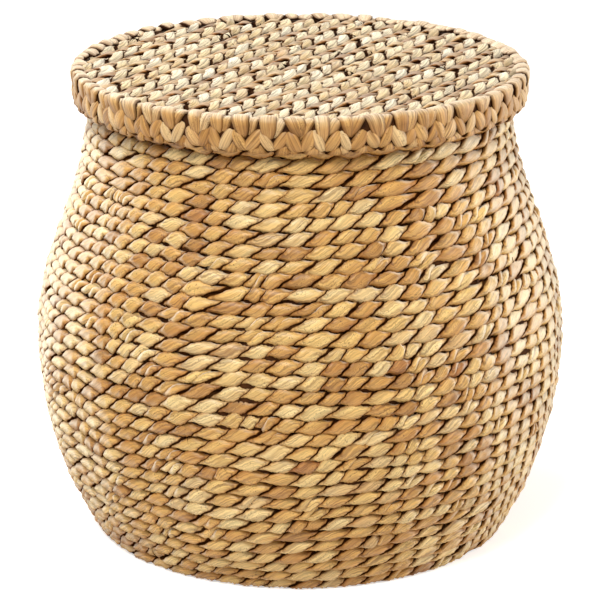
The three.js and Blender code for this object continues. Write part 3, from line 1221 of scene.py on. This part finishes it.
PLAIT = (
    PlaitElement("slip", 0, 5.4, 1.0, 73, -1.0, 0.5),
    PlaitElement("wedge", 0, -4.0, 1.0, 104, 0.0, 0.5),
    PlaitElement("foot", 2, 4.6, 32.5, 105, -1.0),
    PlaitElement("foot", 2, -3.4, 32.5, 79, 0.0),
    PlaitElement("leaf", -1, -0.2, 19.0, 121, -0.1),
    PlaitElement("leaf", 1, 0.2, 19.0, 59, -0.1),
    PlaitElement("lining", -1, 0.0, 51.0, 121, 0.0),
    PlaitElement("lining", 1, 0.0, 51.0, 59, 0.0),
)
PLAIT_FOLDS = {
    "leaf": StrandFold(26.5, 11.8, 6.6, bow=2.8, lead=FULL, trail=FULL),
    "wedge": StrandFold(34.0, 16.0, 6.0, bow=1.6, lead=BROAD, trail=NARROW),
    "slip": StrandFold(34.0, 13.6, 5.6, bow=1.6, lead=BROAD, trail=NARROW),
    "foot": StrandFold(24.0, 13.2, 5.2, bow=1.6, lead=NARROW, trail=BROAD),
    "lining": StrandFold(25.0, 11.4, 4.6, bow=1.0, lead=FULL, trail=FULL),
}


@dataclass
class LidRim:
    """Plaited band that folds over the edge of the lid, covers its skirt and turns in below.

    Lengths are in millimetres. Over the top edge, from the top light start upward, the plait turns
    paler to one tone, painted top light, and keeps to the darker tones below it. Lifted folds lie
    looser.
    """

    finish: Material
    core_shade: Material
    seed: int = 37
    outside: float = 211.5
    inside: float = 199.9
    top: float = 443.9
    bottom: float = 410.2
    fold_end: float = 197.5
    roof: float = 428.5
    rounding: float = 5.5
    periods: int = 57
    period_scatter: float = 1.3
    scatter: Scatter = Scatter(width=0.14, out=0.4, rise=0.7, aside=0.6, length=0.09, lean=6.0)
    loose: float = 0.7
    tone_limit: float = 0.68
    # Painted top light: the folds over the top edge turn paler toward this tone
    top_light_tone: float = 0.9
    top_light_start: float = 5.0
    top_light_reach: float = 9.0
    lip: float = 3.0
    dip: float = 3.2
    pad: float = 0.2
    core_thickness: float = 5.0
    core_foot: float = 3.0
    core_gap: float = 4.0
    core_crease: float = 40.0

    def build(self) -> None:
        """Builds the plait and the dark core inside it, painted shade in its gaps."""
        self.rng = np.random.default_rng(self.seed)
        self.build_plait()
        self.build_core()

    def section(self) -> BandPath:
        """Section of the rim, from the lid's top over the edge and under it to the inside."""
        return BandPath(
            [
                (self.fold_end - self.lip, self.top - self.dip),
                (self.fold_end + self.lip, self.top + self.pad),
                (self.outside, self.top + self.pad),
                (self.outside, self.bottom),
                (self.inside, self.bottom),
                (self.inside, self.roof),
            ],
            self.rounding,
        )

    def build_plait(self) -> None:
        """Lays the folds of every period round the rim."""
        path = self.section()
        edge = float(path.lengths[np.argmax(path.points[:, 0] > self.outside - 0.6)])
        shapes = {kind: fold.model() for kind, fold in PLAIT_FOLDS.items()}
        pitch = 2 * math.pi * self.outside / self.periods
        rng, count, scatter = self.rng, self.periods, self.scatter
        strands = Strands(rng)
        shifts = np.arange(count) * pitch + self.period_scatter * rng.standard_normal(count)
        for element in PLAIT:
            fold, shape = PLAIT_FOLDS[element.kind], shapes[element.kind]
            ahead, up, proud = shape.points.T[:, None, :]
            lean = np.radians(element.lean + jitter(rng, scatter.lean, count))
            up = up * (1 + jitter(rng, scatter.width, count))
            along = ahead * (1 + scatter.length * rng.standard_normal(count))[:, None]
            aside = element.quarters * pitch / 4 + element.aside + jitter(rng, scatter.aside, count)
            beside, rise = leaned(along, up, lean)
            down = edge + element.down - rise - jitter(rng, scatter.rise, count)
            out = proud - fold.crest() + element.depth
            out = out + element.lift * np.clip(ahead * 2 / fold.length, 0, 1)
            out = out + jitter(rng, self.loose if element.lift else scatter.out, count)
            radius, height = path.place(down, out)
            places = round_axis((shifts[:, None] + aside + beside) / self.outside, radius, height)
            # Painted top light over the top edge: the folds there turn paler
            top_light = np.clip((edge + self.top_light_start - down) / self.top_light_reach, 0, 1)
            tone = self.tone_limit * pick_tones(rng, count)[:, None]
            strands.add(places, shape, along, tone + (self.top_light_tone - tone) * top_light)
        piece = strands.raise_piece("lid_rim_plait")
        seat(piece, self.finish, Body.LID, ["lid_rim"])

    def build_core(self) -> None:
        """Raises the dark band inside the rim, painted shade that shows in its gaps."""
        radii = [(self.outside + self.inside) / 2] * 2
        levels = [self.bottom + self.core_foot, self.top - self.core_gap]
        core = raise_core_shade("lid_rim_core_shade", radii, levels, self.core_thickness)
        bpy.ops.object.shade_smooth_by_angle(angle=math.radians(self.core_crease))
        seat(core, self.core_shade, Body.LID)


@dataclass
class MouthBorder:
    """Strand wrapped at a slant over the mouth ring, which finishes the wall and carries the lid.

    Lengths are in millimetres, the lean in degrees. Each wrap is three folds, one after the other
    round the section and each a slip further along the ring.
    """

    finish: Material
    seed: int = 53
    outside: float = 197.5
    inside: float = 184.5
    bottom: float = 417.0
    top: float = 429.6
    rounding: float = 6.0
    hem: float = 1.2
    wraps: int = 98
    parts: int = 3
    overlap: float = 2.2
    slip: float = 7.5
    lean: float = 62.0
    scatter: Scatter = Scatter(width=0.08, out=0.3, aside=0.6, lean=4.0)
    tone_limit: float = 0.68

    def build(self) -> None:
        """Lays the wraps round the mouth ring."""
        rng, count, scatter = np.random.default_rng(self.seed), self.wraps, self.scatter
        middle = (self.outside + self.inside) / 2
        path = BandPath(
            [
                (middle, self.bottom + self.hem),
                (self.inside, self.bottom),
                (self.inside, self.top),
                (self.outside, self.top),
                (self.outside, self.bottom),
                (middle, self.bottom + self.hem),
            ],
            self.rounding,
        )
        girth = float(path.lengths[-1])
        fold = StrandFold(girth / self.overlap, 13.6, 5.0, bow=0.4)
        shape = fold.model()
        strands = Strands(rng)
        turns = np.arange(count)[:, None] * 2 * math.pi * middle / count
        along, up, proud = shape.points.T[:, None, :]
        for part in range(self.parts):
            lean = np.radians(self.lean + jitter(rng, scatter.lean, count))
            beside, rise = leaned(along, up * (1 + jitter(rng, scatter.width, count)), lean)
            shifts = turns + jitter(rng, scatter.aside, count) - (part - 1) * self.slip
            out = proud - fold.crest() + jitter(rng, scatter.out, count)
            radius, height = path.place(girth * (part + 0.5) / self.parts - rise, out)
            places = round_axis((shifts + beside) / middle, radius, height)
            tone = self.tone_limit * pick_tones(rng, count)
            strands.add(places, shape, np.repeat(along, count, axis=0), tone)
        piece = strands.raise_piece("mouth_border_wraps")
        seat(piece, self.finish, Body.BASKET, ["mouth_border"])


@dataclass
class WireFrame:
    """Rings, ribs, bars and posts of iron wire inside the weave."""

    finish: Material
    stems: tuple[str, ...] = (
        "foot_ring",
        "mouth_ring",
        "lid_ring",
        "skirt_ring",
        "rib_",
        "base_bar_",
        "lid_bar_",
        "rim_post_",
    )

    def dress(self) -> None:
        """Gives every wire its finish."""
        for name, node in sorted(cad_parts.items()):
            if name.startswith(self.stems):
                node.data.materials.clear()
                node.data.materials.append(self.finish)
                log.info("%s: lacquered wire", name)


@dataclass(frozen=True)
class Softbox:
    """Square lamp: its name, its place and side in metres, and its power in watts."""

    name: str
    place: Point
    side: float
    power: float


SOFTBOXES = (
    Softbox("back softbox", (-1.2, 1.05, 1.4), 0.9, 17.0),
    Softbox("left softbox", (-1.0, 0.2, 1.9), 0.9, 15.0),
    Softbox("right softbox", (2.1, 0.0, 0.55), 1.5, 37.0),
    Softbox("front softbox", (-0.5, -1.7, 2.4), 0.9, 64.0),
)


@dataclass
class Studio:
    """White studio: a pale floor, soft lamps and the camera of the photograph.

    Lengths are in metres. Glow is what the floor adds to its own colour for the eye, fill the
    even light of the surroundings.
    """

    camera_height: float = 1.0444
    camera_back: float = 2.5294
    aim_height: float = 0.2115
    lens: float = 168.05
    sensor: float = 36.0
    lamp_aim: float = 0.25
    floor_size: float = 14.0
    floor_level: float = -0.0005
    floor_colour: str = "#f3f1ed"
    white: str = "#ffffff"
    glow: float = 0.55
    fill: float = 0.34

    def build(self) -> None:
        """Sets up the floor, the surroundings, the lamps and the camera."""
        self.build_floor()
        self.build_surroundings()
        for softbox in SOFTBOXES:
            lamp = bpy.data.lights.new(softbox.name, "AREA")
            lamp.size = softbox.side
            lamp.energy = softbox.power
            self._stand(softbox.name, lamp, softbox.place, self.lamp_aim)
        self.build_camera()

    def build_floor(self) -> None:
        """Lays a plain floor that is white to the camera and keeps a soft shadow."""
        deselect_everything()
        bpy.ops.mesh.primitive_plane_add(size=self.floor_size, location=(0, 0, self.floor_level))
        floor = bpy.context.object
        floor.name = "studio_floor"
        bpy.ops.object.transform_apply(location=True, rotation=True, scale=True)
        made, tree = start_material("matt studio paper")
        paper = add_node(tree, "ShaderNodeBsdfDiffuse", {"Color": linear(self.floor_colour)})
        light = {"Color": linear(self.white), "Strength": self.glow}
        glow = add_node(tree, "ShaderNodeEmission", light)
        both = add_node(tree, "ShaderNodeAddShader", {0: paper.outputs[0], 1: glow.outputs[0]})
        sides = {0: self._seen(tree), 1: paper.outputs[0], 2: both.outputs[0]}
        seen = add_node(tree, "ShaderNodeMixShader", sides)
        add_node(tree, "ShaderNodeOutputMaterial", {"Surface": seen.outputs[0]})
        floor.data.materials.append(made)

    def build_surroundings(self) -> None:
        """Makes the surroundings white to the eye and a soft even light to the object."""
        world = bpy.data.worlds.new("white studio")
        bpy.context.scene.world = world
        world.use_nodes = True
        tree = world.node_tree
        tree.nodes.clear()
        light, white = (
            add_node(tree, "ShaderNodeBackground", {"Color": linear(self.white), "Strength": strength})
            for strength in (self.fill, 1.0)
        )
        sides = {0: self._seen(tree), 1: light.outputs[0], 2: white.outputs[0]}
        mixed = add_node(tree, "ShaderNodeMixShader", sides)
        add_node(tree, "ShaderNodeOutputWorld", {"Surface": mixed.outputs[0]})

    def _seen(self, tree: Tree) -> Socket:
        """Parts what the eye sees, straight on, mirrored or through glass, from other light.

        Args:
            tree: Node tree of the floor or of the surroundings.

        Returns:
            Socket that is one for what the eye sees.
        """
        path = add_node(tree, "ShaderNodeLightPath").outputs
        first = reckon(tree, "MAXIMUM", path["Is Camera Ray"], path["Is Glossy Ray"])
        return reckon(tree, "MAXIMUM", first, path["Is Transmission Ray"])

    def _stand(self, name: str, data: bpy.types.ID, place: Point, aim: float) -> Piece:
        """Stands a lamp or a camera in its place, turned to the basket.

        Args:
            name: Name of the object.
            data: The lamp or camera.
            place: Its place in metres.
            aim: Height over the middle of the floor that it looks at.

        Returns:
            The object.
        """
        holder = bpy.data.objects.new(name, data)
        holder.location = place
        toward = Vector((0, 0, aim)) - Vector(place)
        holder.rotation_euler = toward.to_track_quat("-Z", "Y").to_euler()
        bpy.context.scene.collection.objects.link(holder)
        return holder

    def build_camera(self) -> None:
        """Stands the camera in front of the basket, a little above it."""
        camera = bpy.data.cameras.new("camera")
        camera.lens = self.lens
        camera.sensor_width = self.sensor
        place = (0.0, -self.camera_back, self.camera_height)
        bpy.context.scene.camera = self._stand("camera", camera, place, self.aim_height)
        bpy.context.scene.view_settings.view_transform = "Standard"


# The darkest stop is reached mostly by the painted shadow on the top course under the lid
WALL_TONES = (
    (0.0, "#8b5e32"),
    (0.06, "#bf8b48"),
    (0.14, "#c9964f"),
    (0.35, "#d5a65d"),
    (0.6, "#dfb66d"),
    (0.82, "#e9c98a"),
    (0.92, "#dfbe84"),
    (0.97, "#d2aa6e"),
    (1.0, "#b98145"),
)
# The rim's tones are darker than the wall's: painted shade that holds the rim, which faces the lamps
# more, to the wall's brightness. Its palest stops are reached only by the painted top light over the
# lid's edge.
RIM_TONES = (
    (0.0, "#9d6e36"),
    (0.1, "#b18146"),
    (0.33, "#c09154"),
    (0.52, "#cb9e63"),
    (0.66, "#d6b27d"),
    (1.0, "#eed7b8"),
)
# The lid's tones are paler than the wall's, in part painted light for the brighter light on its top
LID_TONES = (
    (0.0, "#9c6a38"),
    (0.15, "#bd9059"),
    (0.32, "#d6b47e"),
    (0.45, "#e6cd9c"),
    (0.65, "#efdbb0"),
    (0.88, "#f7eacc"),
    (0.95, "#ead6ac"),
    (1.0, "#cfa873"),
)
WALL_STRAND = HyacinthFinish("dried water hyacinth wall strand", WALL_TONES)
LID_STRAND = HyacinthFinish(
    "dried water hyacinth lid strand",
    LID_TONES,
    streak_depth=0.95,
    flank_shade_reach=2.6,
    shade_start=1.0,
    roughness=0.5,
    sheen_share=0.3,
    relief=0.25,
)
RIM_STRAND = HyacinthFinish(
    "dried water hyacinth rim strand",
    RIM_TONES,
    flank_shade_reach=3.2,
    shade_full=0.6,
    shade_start=2.6,
    gloss=0.25,
    sheen_share=0.2,
    relief=0.3,
)


def main() -> None:
    """Builds the basket's looks in order, then the studio."""
    logging.basicConfig(level=logging.INFO, format="%(message)s")
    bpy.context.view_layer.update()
    wall_strand = WALL_STRAND.material()
    lid_strand = LID_STRAND.material()
    rim_strand = RIM_STRAND.material()
    core_shade = CoreShadeFinish().material()
    Wall(wall_strand, core_shade).build()
    RowPanel(
        name="base_rows",
        node="base_weave",
        body=Body.BASKET,
        slot="base_strand",
        finish=wall_strand,
        core_shade=core_shade,
        seed=23,
        radius=183.8,
        reach=184.5,
        underside=2.0,
        row_angle=0.0,
    ).build()
    MouthBorder(rim_strand).build()
    RowPanel(
        name="lid_rows",
        node="lid_weave",
        body=Body.LID,
        slot="lid_strand",
        finish=lid_strand,
        core_shade=core_shade,
        seed=29,
        radius=198.8,
        reach=203.0,
        underside=430.0,
        row_angle=61.4,
        ridge=0.9,
        recess_shade_tone=0.32,
        ridge_light_tone=0.33,
    ).build()
    LidRim(rim_strand, core_shade).build()
    WireFrame(WireFinish().material()).dress()
    Studio().build()


if __name__ == "__main__":
    main()
